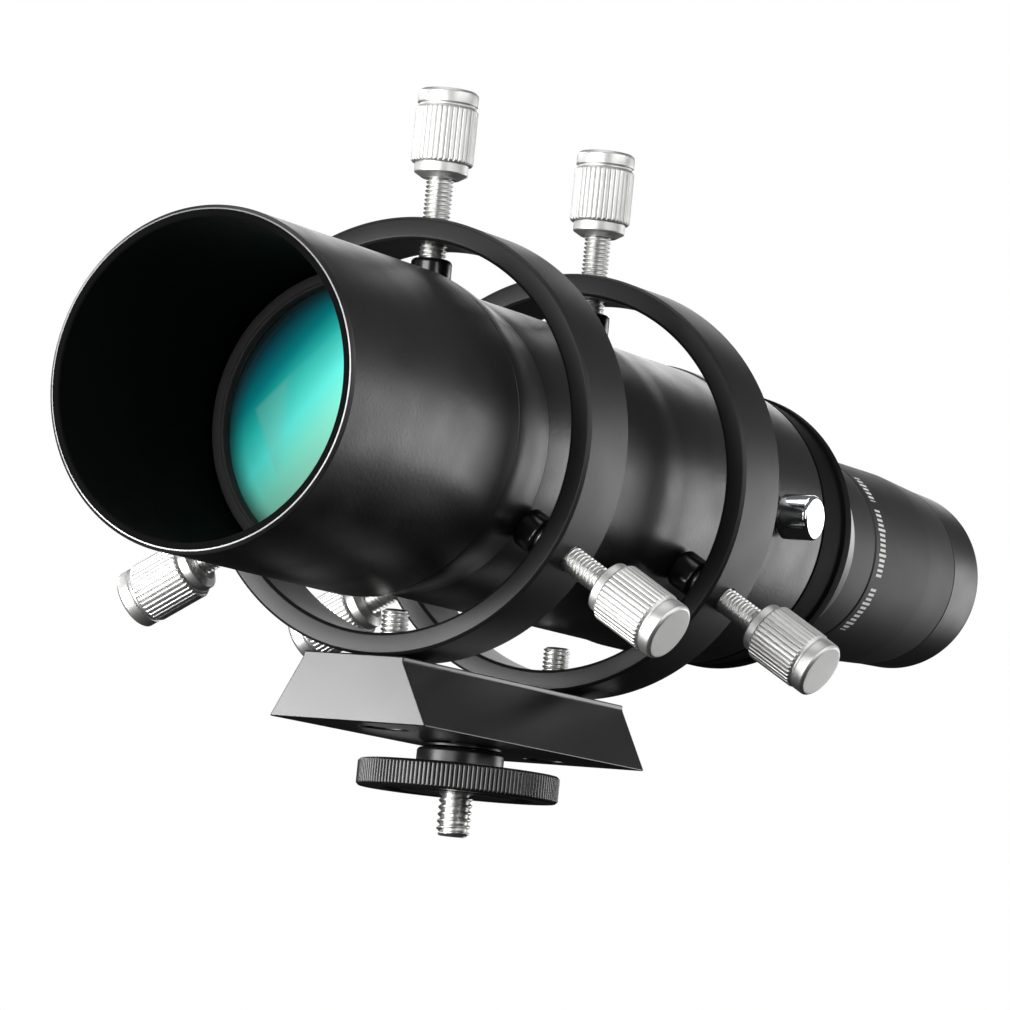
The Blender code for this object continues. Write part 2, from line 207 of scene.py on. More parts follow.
# moulded nylon, glossy where the mould was polished
blackNylon = metalFinish("moulded_black_nylon", {
    "color": "#0b0b0c", "worn": "#101011", "cut": "#161617",
    "metallic": 0.0, "roughness": 0.22, "spread": 0.03, "specular": 0.5, "haze": 11.0,
    "grain": 0.8, "grainDepth": 0.006,
    "marks": 0.4, "marksDepth": 0.0,
})
# moulded rubber: black with a soft wide sheen
cupRubber = metalFinish("moulded_black_rubber", {
    "color": "#0c0c0d", "worn": "#121213", "cut": "#1c1c1d",
    "metallic": 0.0, "roughness": 0.44, "spread": 0.05, "specular": 0.45, "haze": 11.0,
    "grain": 0.35, "grainDepth": 0.008,
    "marks": 0.5, "marksDepth": 0.0,
})


def glassWithPaintedReflection(name, look):
    # The base colour is a painted reflection. Its colour runs along a slanted line across the lens, position
    # = (x, z) . slope + start, in lens radii. A paler wedge, a painted glance of the lens behind, lies on the
    # positive side of two lines and fades beyond a third. The rim is painted dark, the hood's reflection
    # painted into the colour.
    material, tree, shader = newMaterial(name)
    place = addNode(tree, "TexCoord", {}, {}, "Object")
    size = 1 / (look["radius"] * mm)
    fit = {"Vector": place, "Location": (0, 0, -axisHeight / look["radius"]), "Scale": (size, 0, size)}
    spot = addNode(tree, "Mapping", {}, fit)
    lines = []
    for slope, start in (look["slant"], *look["wedge"]):
        across = addNode(tree, "VectorMath", {"operation": "DOT_PRODUCT"}, {0: spot, 1: slope}, 1)
        lines.append(addNode(tree, "Math", {"operation": "ADD"}, {0: across, 1: start}))
    ramp = tree.nodes.new("ShaderNodeValToRGB")
    for i, (at, code) in enumerate(look["stops"]):
        stop = ramp.color_ramp.elements[i] if i < 2 else ramp.color_ramp.elements.new(at)
        stop.position = at
        stop.color = hexColor(code)
    tree.links.new(lines[0], ramp.inputs[0])
    # painted glance: a paler colour mixed in between the wedge's lines, a reflection painted into the base
    # colour
    within = addNode(tree, "Math", {"operation": "MINIMUM"}, {0: lines[1], 1: lines[2]})
    fade = {"From Min": 0.0, "From Max": 0.04, "To Min": 0.0, "To Max": look["paintedGlanceAmount"]}
    paintedGlance = addNode(tree, "MapRange", {"interpolation_type": "SMOOTHSTEP"}, {"Value": within, **fade})
    fade = {"From Min": 0.0, "From Max": 0.1, "To Min": 1.0, "To Max": 0.25}
    beyond = addNode(tree, "MapRange", {"interpolation_type": "SMOOTHSTEP"}, {"Value": lines[3], **fade})
    paintedGlance = addNode(tree, "Math", {"operation": "MULTIPLY"}, {0: paintedGlance, 1: beyond})
    hues = {0: paintedGlance, 6: ramp.outputs[0], 7: hexColor(look["paintedGlance"])}
    tone = addNode(tree, "Mix", {"data_type": "RGBA"}, hues, 2)
    # painted shade: darker towards the rim, the hood's reflection in the glass edge painted into the base
    # colour
    radius = addNode(tree, "VectorMath", {"operation": "LENGTH"}, {0: spot}, 1)
    fade = {"From Min": 0.82, "From Max": 1.0, "To Min": 0.0, "To Max": 0.8}
    rim = addNode(tree, "MapRange", {"interpolation_type": "SMOOTHSTEP"}, {"Value": radius, **fade})
    hues = {0: rim, 6: tone, 7: hexColor(look["rim"])}
    tree.links.new(addNode(tree, "Mix", {"data_type": "RGBA"}, hues, 2), shader.inputs["Base Color"])
    shader.inputs["Metallic"].default_value = look["metallic"]
    shader.inputs["Roughness"].default_value = look["roughness"]
    shader.inputs["IOR"].default_value = 1.52
    shader.inputs["Coat Weight"].default_value = 1.0
    shader.inputs["Coat Roughness"].default_value = 0.03
    return material


# crown glass with a broadband coating, its reflection painted into the base colour: it sends back cyan and
# green, and is painted dark blue where it sees the hood
objectiveGlass = glassWithPaintedReflection("broadband_coated_crown_glass_painted_reflection", {
    "radius": 25.7, "slant": ((0.5, 0, -0.42), 0.62),
    "wedge": (((0.69, 0, -0.72), 0.58), ((0.89, 0, 0.45), 0.66), ((1, 0, 0), 0.55)),
    "stops": (
        (0.0, "#0b2b38"), (0.09, "#0e6672"), (0.17, "#038e92"), (0.29, "#2fd0c4"), (0.42, "#5ef2e5"),
        (0.54, "#7ae2ca"), (0.72, "#88b49c"),
    ),
    # the painted glance's colour and share, and the colour of the rim's painted shade
    "paintedGlance": "#86cfbe", "paintedGlanceAmount": 0.36, "rim": "#18241c",
    "metallic": 0.05, "roughness": 0.25,
})
# the eyepiece's glass has the plainer coating, its reflection painted into the base colour: nearly black with
# a painted green glance and a painted dark rim
eyeGlass = glassWithPaintedReflection("single_coated_glass_painted_reflection", {
    "radius": 15.7, "slant": ((0.2, 0, -0.3), 0.5),
    "wedge": (((0.69, 0, -0.72), 0.3), ((0.89, 0, 0.45), 0.3), ((1, 0, 0), 0.3)),
    "stops": ((0.0, "#04120c"), (0.5, "#0a2a1c"), (1.0, "#11432e")),
    # the painted glance's colour and share, and the colour of the rim's painted shade
    "paintedGlance": "#1c4a3a", "paintedGlanceAmount": 0.4, "rim": "#020604",
    "metallic": 0.2, "roughness": 0.08,
})
print("materials made:", len(bpy.data.materials))


def rounded(outline, steps=4):
    # Each corner (radius, height, round, bright) becomes the curve (1-t)^2 before + 2t(1-t) corner + t^2
    # after, where before and after lie "round" away from it on its two sides. Columns out: radius, height,
    # bright.
    corners = np.array([(*corner, 0, 0)[:4] for corner in outline], float)
    here = corners[:, :2]
    back = np.roll(here, 1, axis=0) - here
    ahead = np.roll(here, -1, axis=0) - here
    backLength = np.maximum(np.linalg.norm(back, axis=1, keepdims=True), 1e-9)
    aheadLength = np.maximum(np.linalg.norm(ahead, axis=1, keepdims=True), 1e-9)
    size = np.minimum(corners[:, 2:3], 0.45 * np.minimum(backLength, aheadLength))
    before = (here + back / backLength * size)[:, None]
    after = (here + ahead / aheadLength * size)[:, None]
    t = np.linspace(0, 1, steps + 1)[None, :, None]
    curve = (1 - t) ** 2 * before + 2 * t * (1 - t) * here[:, None] + t**2 * after
    # the brightness of a cut edge stops at the corner's ends, unless the next corner is bright too
    glow = corners[:, 3]
    bright = np.repeat(glow[:, None], steps + 1, axis=1)
    bright[:, 0] = np.minimum(glow, np.roll(glow, 1))
    bright[:, -1] = np.minimum(glow, np.roll(glow, -1))
    return np.concatenate([curve, bright[..., None]], axis=2).reshape(-1, 3)


def eased(first, last, points=10):
    # a smooth S from one (radius, height) to another: radius follows (1 - cos(pi t)) / 2, height follows t
    t = np.linspace(0, 1, points)
    radius = first[0] + (last[0] - first[0]) * (1 - np.cos(np.pi * t)) / 2
    height = first[1] + (last[1] - first[1]) * t
    return [tuple(point) for point in np.stack([radius, height], axis=1)]


def cap(edge, curve, rim, points=18):
    # a sphere's section: height = edge - (sag at the rim - sag at r), sag = R - sqrt(R^2 - r^2), for r from
    # 0 to the rim, and the other way for a negative curve
    r = rim * np.sin(np.linspace(0, np.pi / 2, points))
    size = abs(curve)
    sag = size - np.sqrt(size**2 - r**2)
    height = edge - np.sign(curve) * (sag[-1] - sag)
    return [tuple(point) for point in np.stack([r, height], axis=1)]


def ribbed(count, depth, low, high, sharpness=2.0, beyond=0):
    # straight ribs: the radius loses depth * max(0, 1 - sharpness * |sin(count * angle / 2)|) between two
    # heights, where it is beyond a least radius
    def shape(radius, height, angle):
        groove = np.clip(1 - sharpness * np.abs(np.sin(count * angle / 2)), 0, 1)
        inside = np.clip(np.minimum(height - low, high - height) / 0.25, 0, 1)
        return radius - depth * groove * inside * (radius > beyond)

    return shape


def spun(radius, height, axis, sides):
    # point = centre + height * along + radius * (cos(angle) * first + sin(angle) * second), outline x angle
    centre, along, first = (np.array(part, float) for part in axis)
    second = np.cross(along, first)
    angle = np.linspace(0, 2 * np.pi, sides, endpoint=False)[None, :]
    swing = np.cos(angle)[..., None] * first + np.sin(angle)[..., None] * second
    return centre + height[..., None] * along + radius[..., None] * swing


def meshOf(name, points, closed, columns, partner=None):
    # quads between neighbouring grid points: the outline wraps round where it is closed, and each row meets
    # itself after a turn, or its partner row where the rows climb
    rows, sides = points.shape[:2]
    index = np.arange(rows * sides).reshape(rows, sides)
    beside = np.roll(index, -1, axis=1)
    if partner is not None:
        beside[:, -1] = index[partner, 0]
    quads = np.stack([index, beside, np.roll(beside, -1, axis=0), np.roll(index, -1, axis=0)], axis=-1)
    quads = (quads if closed else quads[:-1]).reshape(-1, 4)
    mesh = bpy.data.meshes.new(name)
    mesh.from_pydata((points * mm).reshape(-1, 3).tolist(), [], quads.tolist())
    for column, values in columns.items():
        layer = mesh.attributes.new(column, "FLOAT", "POINT")
        layer.data.foreach_set("value", np.repeat(values, sides).astype(np.float32))
    return mesh


def cleaned(mesh, angle=38):
    # doubles merged, so seams and poles close, then faces turned outwards and edges over the angle kept sharp
    shape = bmesh.new()
    shape.from_mesh(mesh)
    bmesh.ops.remove_doubles(shape, verts=shape.verts, dist=1e-6)
    bmesh.ops.recalc_face_normals(shape, faces=shape.faces)
    shape.to_mesh(mesh)
    shape.free()
    mesh.shade_smooth()
    mesh.set_sharp_from_angle(angle=math.radians(angle))
    return mesh


def lined(mesh, axis, limit, before=-1e9):
    # faces nearer the axis than the limit, or before a height, take the second material
    centre, along = (np.array(part, float) for part in axis[:2])
    middle = np.zeros(len(mesh.polygons) * 3)
    mesh.polygons.foreach_get("center", middle)
    offset = middle.reshape(-1, 3) / mm - centre
    height = offset @ along
    offset -= height[:, None] * along
    inner = ((np.linalg.norm(offset, axis=1) < limit) | (height < before)).astype(np.int32)
    mesh.polygons.foreach_set("material_index", inner)


def cutAway(thing, cutters):
    # takes every cutter out of the piece with exact Booleans, and keeps the result as its plain mesh
    for tool in cutters:
        hole = thing.modifiers.new(tool.name, "BOOLEAN")
        hole.operation = "DIFFERENCE"
        hole.solver = "EXACT"
        hole.object = tool
    graph = bpy.context.evaluated_depsgraph_get()
    whole = bpy.data.meshes.new_from_object(thing.evaluated_get(graph))
    thing.modifiers.clear()
    thing.data = whole
    for tool in cutters:
        bpy.data.objects.remove(tool)
    whole.shade_smooth()
    whole.set_sharp_from_angle(angle=math.radians(30))


def piece(name, mesh, node, slot, *materials):
    # the finished piece stands for its CAD node, and rides on that node's body
    thing = bpy.data.objects.new(name, mesh)
    bpy.context.scene.collection.objects.link(thing)
    for material in materials:
        mesh.materials.append(material)
    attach(thing, bodyOf[node])
    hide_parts(node)
    return thing


def turned(
    name, outline, node, slot, material, axis=opticalAxis, sides=144, shape=None, lining=None, sharp=38
):
    # the rounded outline carried round the axis, with its course and its bright edges as attributes
    path = rounded(outline)
    course = np.concatenate([[0], np.cumsum(np.linalg.norm(np.diff(path[:, :2], axis=0), axis=1))])
    radius, height = path[:, :1], path[:, 1:2]
    if shape:
        angle = np.linspace(0, 2 * np.pi, sides, endpoint=False)[None, :]
        radius = np.where(radius > 0, shape(radius, height, angle), 0)
    columns = {"course": course, "edge": path[:, 2]}
    mesh = cleaned(meshOf(name, spun(radius, height, axis, sides), outline[0][0] > 0, columns), sharp)
    if lining:
        lined(mesh, axis, *lining[1:])
        return piece(name, mesh, node, slot, material, lining[0])
    return piece(name, mesh, node, slot, material)


def threadedRod(name, look, span, ends, node, slot, material, axis, sides=48, perTurn=10):
    # Rows climb with the turn, height = low + pitch * (row / perTurn - 1 + angle / 2 pi), held between the
    # two ends, so that each crest runs along a row. Radius = outer - depth * (1 - crest), where crest =
    # 1.2 * (1 - |2 frac(row / perTurn) - 1|) up to 1, and fades to the root at the ends. The outlines before
    # and after it close the rod.
    low, high = span
    rows = perTurn * (math.ceil((high - low) / look["pitch"]) + 1) + 1
    row = np.arange(rows)[:, None]
    angle = np.linspace(0, 2 * np.pi, sides, endpoint=False)[None, :]
    height = np.clip(low + look["pitch"] * (row / perTurn - 1 + angle / (2 * np.pi)), low, high)
    inside = np.clip(np.minimum(height - low, high - height) / (0.5 * look["pitch"]), 0, 1)
    crest = np.clip(1.2 * (1 - np.abs(2 * np.mod(row / perTurn, 1) - 1)), 0, 1)
    radius = look["outer"] - look["depth"] * (1 - crest * inside)
    first, last = (rounded(end) for end in ends)
    whole = [np.broadcast_to(end[:, :1], (len(end), sides)) for end in (first, last)]
    flat = [np.broadcast_to(end[:, 1:2], (len(end), sides)) for end in (first, last)]
    radius = np.concatenate([whole[0], radius, whole[1]])
    height = np.concatenate([flat[0], height, flat[1]])
    partner = np.arange(len(radius))
    thread = slice(len(first), len(first) + rows)
    partner[thread] = np.minimum(partner[thread] + perTurn, len(first) + rows - 1)
    mesh = cleaned(meshOf(name, spun(radius, height, axis, sides), False, {}, partner), 70)
    return piece(name, mesh, node, slot, material)


def drill(name, outline, axis, sides=48):
    # a closed turned solid that only cuts
    path = rounded(outline)
    mesh = cleaned(meshOf(name, spun(path[:, :1], path[:, 1:2], axis, sides), False, {}))
    tool = bpy.data.objects.new(name, mesh)
    bpy.context.scene.collection.objects.link(tool)
    return tool


hoodLook = {
    "outer": 30.0, "bore": 27.9, "lip": 0.6, "innerLip": 0.25,
    "line": 0.25, "bright": 0.5,  # the line cut round the lip: its width, and how bright it is
    "seam": 0.06,
}
cellLook = {
    "shoulder": 30.0, "tube": 27.9, "nose": 27.6, "lensBore": 25.85, "spigot": 25.6, "aperture": 24.5,
}
objectiveLook = {"radius": 25.7, "frontCurve": 125.0, "rearCurve": -90.0, "thick": 2.8, "ringBore": 25.0}


def makeHood():
    low, high = reach("dew_shield")
    front, rear, look = low.y, high.y, hoodLook
    outer, bore, lip, inner = look["outer"], look["bore"], look["lip"], look["innerLip"]
    outline = [
        (bore, rear - 0.4, 0.1), (bore, front + inner, 0.05), (bore + inner, front, 0.05),
        (outer - lip - look["line"], front, 0.02, look["bright"]),
        (outer - lip, front + 0.08, 0.02, look["bright"]), (outer, front + lip, 0.1),
        (outer, rear + 0.25 - look["seam"], 0.05), (outer - look["seam"], rear + 0.25),
        (bore + 0.4, rear + 0.25, 0.1),
    ]
    lining = (mattBlack, (bore + outer) / 2, front + 0.005)
    turned("dewShield", outline, "dew_shield", "black_anodised", satinAnodised, sides=192, lining=lining)


def makeCell():
    low, high = reach("objective_cell")
    look, front, shoulder = cellLook, low.y, reach("dew_shield")[1].y + 0.3
    ledge, tubeFront = reach("flint_lens")[1].y + 0.3, reach("main_tube")[0].y
    outer, nose, bore, spigot = look["shoulder"], look["nose"], look["lensBore"], look["spigot"]
    tube, aperture, seam = look["tube"], look["aperture"], hoodLook["seam"]
    outline = [
        (bore, front, 0.05), (nose, front, 0.15), (nose, shoulder, 0), (outer - seam, shoulder),
        (outer, shoulder + seam),
    ]
    outline += eased((outer, shoulder + 0.15), (tube, tubeFront - 0.3), 20)
    outline += [
        (tube, tubeFront - seam), (spigot, tubeFront - seam), (spigot, high.y), (aperture, high.y),
        (aperture, ledge), (bore, ledge),
    ]
    lining = (greyAnodised, bore + 0.02, shoulder - 0.1)
    node, slot = "objective_cell", "black_anodised"
    turned("objectiveCell", outline, node, slot, satinAnodised, sides=192, lining=lining)


def makeObjective():
    low, high = reach("lens_retaining_ring")
    look, edge = objectiveLook, high.y + 0.3
    bore, outer, radius = look["ringBore"], cellLook["lensBore"] - 0.05, look["radius"]
    outline = [
        (bore, high.y, 0.05), (bore, low.y + 0.5, 0.15), (bore + 0.35, low.y, 0.12), (outer, low.y, 0.05),
        (outer, high.y, 0.05),
    ]
    turned("lensRetainingRing", outline, "lens_retaining_ring", "black_anodised", greyAnodised)
    back = cap(edge + look["thick"], look["rearCurve"], radius)
    outline = cap(edge, look["frontCurve"], radius) + back[::-1]
    turned("crownLens", outline, "crown_lens", "coated_glass", objectiveGlass)


makeHood()
makeCell()
makeObjective()
print("hood, cell and objective made")


tubeLook = {"front": 27.9, "rear": 27.4, "bore": 25.9, "stepAt": 16.0, "stepLong": 10.0}
housingLook = {"radius": 27.7, "groove": 27.4, "spigot": 25.6, "bore": 20.7, "hole": 2.65, "spotFace": 3.6}
drawTubeLook = {"radius": 20.5, "bore": 18.6}
flangeLook = {
    "radius": 27.7, "band": 27.4, "waist": 26.8, "rim": 26.6, "spigot": 20.65,
    "socket": 18.6, "bore": 16.0, "groove": 17.4, "socketLong": 16.0,
}


def makeTube():
    low, high = reach("main_tube")
    look, step = tubeLook, tubeLook["stepAt"]
    outline = [(look["bore"], low.y), (look["front"], low.y, 0.04), (look["front"], low.y + 6)]
    outline += eased((look["front"], step), (look["rear"], step + look["stepLong"]), 14)
    outline += [(look["rear"], high.y - 0.25, 0.1), (look["rear"] - 0.2, high.y, 0.05)]
    outline += [(look["bore"], high.y)]
    lining = (mattBlack, look["bore"] + 0.6)
    turned("mainTube", outline, "main_tube", "black_anodised", satinAnodised, sides=192, lining=lining)


def makeHousing():
    low, high = reach("draw_housing")
    look, front = housingLook, reach("main_tube")[1].y + 0.3
    radius, groove, bore = look["radius"], look["groove"], look["bore"]
    outline = [
        (bore, low.y, 0.2), (look["spigot"], low.y, 0.2), (look["spigot"], front, 0), (groove, front, 0.15),
        (radius, front + 0.3, 0.15), (radius, high.y - 0.3, 0.15), (groove, high.y, 0.1),
        (bore + 0.4, high.y, 0.1), (bore, high.y - 0.4, 0.1),
    ]
    lining = (mattBlack, bore + 0.2)
    housing = turned("drawHousing", outline, "draw_housing", "black_anodised", satinAnodised, lining=lining)
    station = sum(corner.y for corner in reach("lock_screw")) / 2
    across = ((0, station, axisHeight), (1, 0, 0), (0, 1, 0))
    hole, spot = look["hole"], look["spotFace"]
    outline = [(0, 18), (hole, 18), (hole, 26.9), (spot, 27.9), (spot, 30), (0, 30)]
    cutAway(housing, [drill("lockHole", outline, across)])


def makeDrawTube():
    low, high = reach("draw_tube")
    radius, bore = drawTubeLook["radius"], drawTubeLook["bore"]
    outline = [
        (bore, low.y + 0.3, 0.1), (bore + 0.3, low.y, 0.1), (radius - 0.4, low.y, 0.1, 0.3),
        (radius, low.y + 0.4, 0.1, 0.3), (radius, high.y - 0.4, 0.1), (radius - 0.4, high.y), (bore, high.y),
    ]
    lining = (mattBlack, bore + 0.2)
    turned("drawTube", outline, "draw_tube", "black_anodised", satinAnodised, lining=lining)


def makeDrawFlange():
    low, high = reach("draw_flange")
    look, end = flangeLook, high.y
    rim, inner = end - look["socketLong"], end - look["socketLong"] - 5.7
    band, spigot, socket = look["band"], look["spigot"], look["socket"]
    bore, groove = look["bore"], look["groove"]
    outline = [
        (spigot, low.y, 0.1), (band, low.y, 0.1), (look["radius"], low.y + 0.3, 0.15),
        (look["waist"], rim - 4, 0.3), (band, rim - 3.5, 0.15), (band, rim - 0.8, 0.2),
        (look["rim"], rim, 0.2), (socket + 0.6, rim, 0.5), (socket, rim + 0.6, 0.3),
        (socket, end - 0.5, 0.15, 0.2),
        (socket - 0.5, end, 0.1, 0.2), (bore + 0.2, end, 0.1), (bore, end - 0.2, 0.1),
        (bore, end - 4), (groove, end - 4), (groove, end - 9), (bore, end - 9),  # the spring ring's groove
        (bore, inner), (spigot, inner),
    ]
    lining = (mattBlack, bore + 0.2)
    # painted shade: the flange wears the darker, duller copy of the black anodising
    turned("drawFlange", outline, "draw_flange", "black_anodised", paintedShadeAnodised, lining=lining)


lockScrewLook = {"outer": 2.5, "depth": 0.42, "pitch": 0.8, "head": 4.35, "neck": 28.4}


def makeLockScrew():
    low, high = reach("lock_screw")
    station = (low.y + high.y) / 2
    across = ((0, station, axisHeight), (1, 0, 0), (0, 1, 0))
    look, face = lockScrewLook, high.x
    radius, neck, outer = look["head"], look["neck"], look["outer"]
    before = [(0, low.x), (outer - look["depth"], low.x)]
    after = [
        (radius - 0.2, neck, 0.1), (radius, neck + 0.2, 0.1), (radius, face - 0.55, 0.3),
        (radius - 0.45, face, 0.25), (0, face),
    ]
    span, ends = (low.x, neck), (before, after)
    threadedRod("lockScrew", look, span, ends, "lock_screw", "polished_chrome", polishedChrome, across, 64)


makeTube()
makeHousing()
makeDrawTube()
makeDrawFlange()
makeLockScrew()
print("tube, draw tube and lock screw made")


barrelLook = {"radius": 15.85, "groove": 15.6, "bore": 14.75}
eyepieceLook = {
    "radius": 19.8, "barrelBore": 16.0, "neck": 17.0, "lensBore": 12.0, "lineDeep": 0.25,
    "dialAt": 14.6, "dialWidth": 2.5, "longer": 0.4, "ticks": 120, "tickShare": 0.55, "paint": "#e2e2df",
    "groups": ((0.12, 0.36), (0.74, 0.16), (-0.62, 0.27)),  # middles and half widths, radians from +X
}
eyecupLook = {"seat": 17.3, "foot": 19.0, "lip": 16.6, "mouth": 14.6, "inside": 14.0}
eyeLensLook = {"radius": 15.7, "frontCurve": 45.0, "rearCurve": -200.0, "thick": 5.0}


def markedAnodised(base, look):
    # the grey anodising with a dial on it: short white ticks in groups round the axis, every fifth one longer
    material = base.copy()
    material.name = "dark_grey_anodised_with_dial"
    tree = material.node_tree
    shader = tree.nodes["Principled BSDF"]
    place = addNode(tree, "TexCoord", {}, {}, "Object")
    shift = (0, -look["station"] * mm, -axisHeight * mm)
    spot = addNode(tree, "Mapping", {}, {"Vector": place, "Location": shift})
    parts = addNode(tree, "SeparateXYZ", {}, {"Vector": spot}).node.outputs
    angle = addNode(tree, "Math", {"operation": "ARCTAN2"}, {0: parts["Z"], 1: parts["X"]})
    turns = addNode(tree, "Math", {"operation": "MULTIPLY"}, {0: angle, 1: look["ticks"] / math.tau})
    wave = addNode(tree, "Math", {"operation": "PINGPONG"}, {0: turns, 1: 0.5})
    tick = addNode(tree, "Math", {"operation": "LESS_THAN"}, {0: wave, 1: look["tickShare"] / 2})
    fives = addNode(tree, "Math", {"operation": "PINGPONG"}, {0: turns, 1: 2.5})
    fives = addNode(tree, "Math", {"operation": "LESS_THAN"}, {0: fives, 1: 0.3})
    long = {0: fives, 1: look["longer"] * mm, 2: look["dialWidth"] * mm / 2}
    half = addNode(tree, "Math", {"operation": "MULTIPLY_ADD"}, long)
    band = addNode(tree, "Math", {"operation": "COMPARE"}, {0: parts["Y"], 1: 0.0, 2: half})
    paint = addNode(tree, "Math", {"operation": "MULTIPLY"}, {0: tick, 1: band})
    groups = 0.0
    for middle, reachOut in look["groups"]:
        near = addNode(tree, "Math", {"operation": "COMPARE"}, {0: angle, 1: middle, 2: reachOut})
        groups = addNode(tree, "Math", {"operation": "ADD"}, {0: near, 1: groups})
    paint = addNode(tree, "Math", {"operation": "MULTIPLY"}, {0: paint, 1: groups})
    under = shader.inputs["Base Color"].links[0].from_socket
    hues = {0: paint, 6: under, 7: hexColor(look["paint"])}
    tree.links.new(addNode(tree, "Mix", {"data_type": "RGBA"}, hues, 2), shader.inputs["Base Color"])
    return material


def makeBarrel():
    low, high = reach("eyepiece_barrel")
    look, start, end = barrelLook, low.y, high.y
    radius, groove, bore = look["radius"], look["groove"], look["bore"]
    outline = [
        (bore, start + 0.3, 0.1), (bore + 0.2, start, 0.1), (radius - 0.4, start, 0.1),
        (radius, start + 0.4, 0.15), (radius, start + 5), (groove, start + 5.6, 0.2),
        (groove, start + 8.4, 0.2), (radius, start + 9), (radius, end - 0.2, 0.1), (radius - 0.2, end),
        (bore, end),
    ]
    lining = (mattBlack, bore + 0.15)
    turned("eyepieceBarrel", outline, "eyepiece_barrel", "polished_chrome", polishedChrome, lining=lining)


def makeEyepiece():
    low, high = reach("eyepiece_body")
    look = dict(eyepieceLook, station=low.y + eyepieceLook["dialAt"])
    radius, start, end = look["radius"], low.y, high.y
    seam, line = end - 7, radius - look["lineDeep"]
    outline = [
        (look["barrelBore"], start, 0.1), (radius - 0.8, start, 0.1, 0.9), (radius, start + 0.8, 0.15, 0.9),
        (radius, start + 10.6, 0.1), (line, start + 10.85, 0.1), (line, start + 11.25, 0.1),
        (radius, start + 11.5, 0.1), (radius, end - 21, 0.5), (radius - 0.8, seam, 0.1), (look["neck"], seam),
        (look["neck"], end, 0.2), (look["lensBore"], end, 0.2), (look["lensBore"], end - 3, 0.1),
        (look["barrelBore"], end - 3),
    ]
    body, lining = markedAnodised(greyAnodised, look), (mattBlack, look["barrelBore"] + 0.4)
    turned("eyepieceBody", outline, "eyepiece_body", "grey_anodised", body, lining=lining)


def makeEyecup():
    low, high = reach("eyecup")
    look, start, end, shelf = eyecupLook, low.y, high.y, reach("eyepiece_body")[1].y + 0.3
    seat, foot, lip, mouth = look["seat"], look["foot"], look["lip"], look["mouth"]
    outline = [
        (seat, start), (foot, start, 0.15), (foot - 0.1, start + 0.5, 0.2), (foot - 0.5, end - 2, 1.0),
        (lip + 1, end - 0.4, 0.5), (lip, end, 0.5), (mouth + 0.6, end - 0.4, 0.5), (mouth, end - 2, 0.6),
        (look["inside"], shelf, 0.1), (seat, shelf),
    ]
    turned("eyecup", outline, "eyecup", "black_rubber", cupRubber)


def makeEyeLens():
    look, end = eyeLensLook, reach("eye_lens")[1].y
    radius, thick, curve = look["radius"], look["thick"], abs(look["rearCurve"])
    front = end - thick - (curve - math.sqrt(curve**2 - radius**2))
    outline = cap(front, look["frontCurve"], radius) + cap(front + thick, look["rearCurve"], radius)[::-1]
    turned("eyeLens", outline, "eye_lens", "coated_glass", eyeGlass, sides=96)


makeBarrel()
makeEyepiece()
makeEyecup()
makeEyeLens()
print("eyepiece made")


ringLook = {"outer": 39.65, "inner": 35.5, "chamfer": 0.5, "hole": 2.65}
adjusterLook = {
    "outer": 2.5, "pitch": 0.8, "depth": 0.45, "bore": 2.65,
    "seat": {"front": 28.45, "rear": 27.85}, "tip": 3.75, "tipTop": 33.0, "tipFloor": 1.6,
    "screwTop": 57.2, "foot": 47.7, "end": 63.8, "flange": 4.9, "knurl": 5.7, "crown": 5.5,
    "ribs": 36, "ribDepth": 0.32,
}
adjusterAngles = {"top": 90, "left": 210, "right": 330}  # degrees from +X towards +Z


def outwards(station, angle):
    # an axis square to the optical axis: its heights are radii of the finder
    turn = math.radians(angle)
    return (0, station, axisHeight), (math.cos(turn), 0, math.sin(turn)), (0, 1, 0)


def makeRing(place):
    low, high = reach(f"{place}_ring")
    outer, inner, chamfer = ringLook["outer"], ringLook["inner"], ringLook["chamfer"]
    front, rear, middle = low.y, high.y, (low.y + high.y) / 2
    outline = [
        (inner, front + chamfer, 0.12), (inner + chamfer, front, 0.12), (outer - chamfer, front, 0.12),
        (outer, front + chamfer, 0.12), (outer, rear - chamfer, 0.12), (outer - chamfer, rear, 0.12),
        (inner + chamfer, rear, 0.12), (inner, rear - chamfer, 0.12),
    ]
    lining = (facedAnodised, 0, front + 0.05)
    name, node = f"{place}Ring", f"{place}_ring"
    ring = turned(name, outline, node, "black_anodised", ringAnodised, sides=240, lining=lining)
    hole, tools = ringLook["hole"], []
    for side, angle in adjusterAngles.items():
        outline = [(0, 33), (hole, 33), (hole, 42), (0, 42)]
        tools.append(drill(f"{place}{side}Hole", outline, outwards(middle, angle)))
    foot = ((0, middle, 0), (0, 0, 1), (1, 0, 0))
    tools.append(drill(f"{place}FootHole", [(0, 8), (hole, 8), (hole, 19), (0, 19)], foot))
    cutAway(ring, tools)


